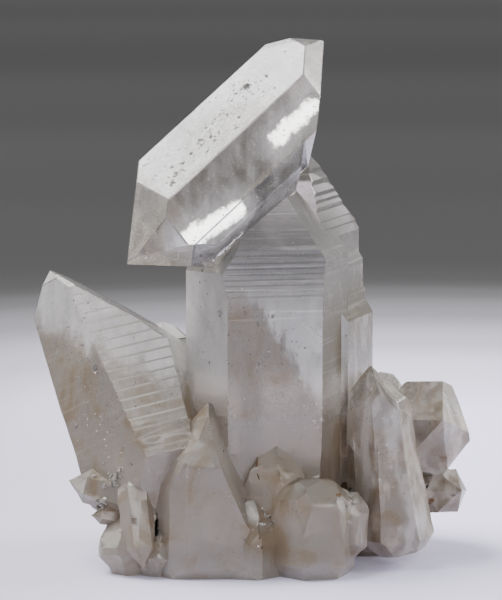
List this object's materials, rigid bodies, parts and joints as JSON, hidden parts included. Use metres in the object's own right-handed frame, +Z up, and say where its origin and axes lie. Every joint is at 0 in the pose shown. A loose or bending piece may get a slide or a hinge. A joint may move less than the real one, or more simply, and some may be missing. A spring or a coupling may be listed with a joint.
{
  "type": "quartz crystal cluster",
  "caption": "Upright stepped quartz crystal with a doubly terminated crystal lying across its tip, a leaning crystal beside it and stubby crystals round a base cut flat below.",
  "frame": {"origin": "centre of the bounding box at the flat face the cluster rests on", "axes": "+Z up along the upright crystal, -Y towards the viewer, +X towards the stubby crystals on the right"},
  "size_m": [0.0603, 0.0416, 0.0714],
  "materials": {
    "quartz": "clear to milky, glossy with fine striations"
  },
  "bodies": {
    "root": {"quartz_cluster": "quartz"}
  },
  "joints": []
}
